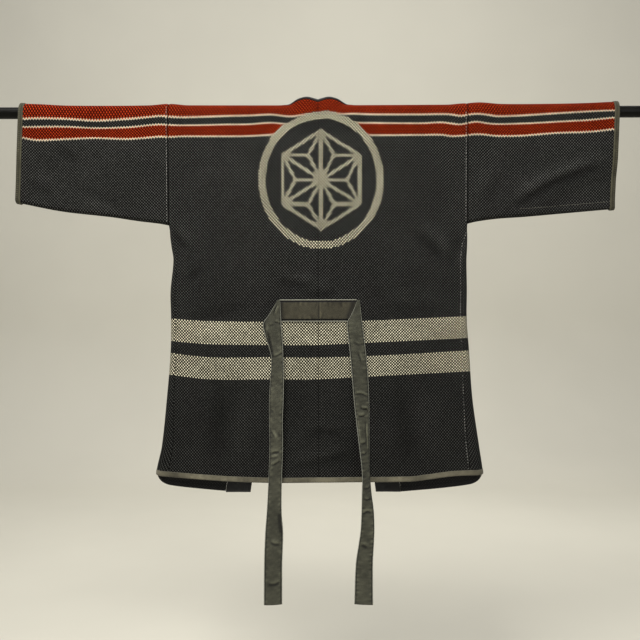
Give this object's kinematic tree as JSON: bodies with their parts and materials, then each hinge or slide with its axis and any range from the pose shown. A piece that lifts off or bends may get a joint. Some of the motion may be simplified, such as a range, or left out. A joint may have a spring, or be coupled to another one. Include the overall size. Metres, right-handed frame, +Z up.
{
  "type": "hanten on a rod",
  "caption": "Short straight-sleeved quilted cotton coat, seen from the back, hung flat on a plain rod through its sleeves, with a belt band and hanging ties.",
  "frame": {"origin": "the middle of the rod's axis, where the rod is held", "axes": "+X along the rod to the wearer's right, +Y out of the coat's front, so its back faces -Y, +Z up"},
  "size_m": [1.46, 0.0863, 1.0911],
  "materials": {
    "quilted_cotton": "matte sashiko weave",
    "collar_cotton": "matte plain weave",
    "binding_cotton": "matte, stitched",
    "belt_cotton": "matte, creased",
    "black_lacquer": "satin black paint"
  },
  "bodies": {
    "root": {"body_left": "quilted_cotton", "body_right": "quilted_cotton", "sleeve_left": "quilted_cotton", "sleeve_right": "quilted_cotton", "collar": "collar_cotton", "hem_binding": "binding_cotton", "cuff_binding_left": "binding_cotton", "cuff_binding_right": "binding_cotton", "belt": "belt_cotton", "tie_left": "belt_cotton", "tie_right": "belt_cotton", "rod": "black_lacquer"}
  },
  "joints": []
}
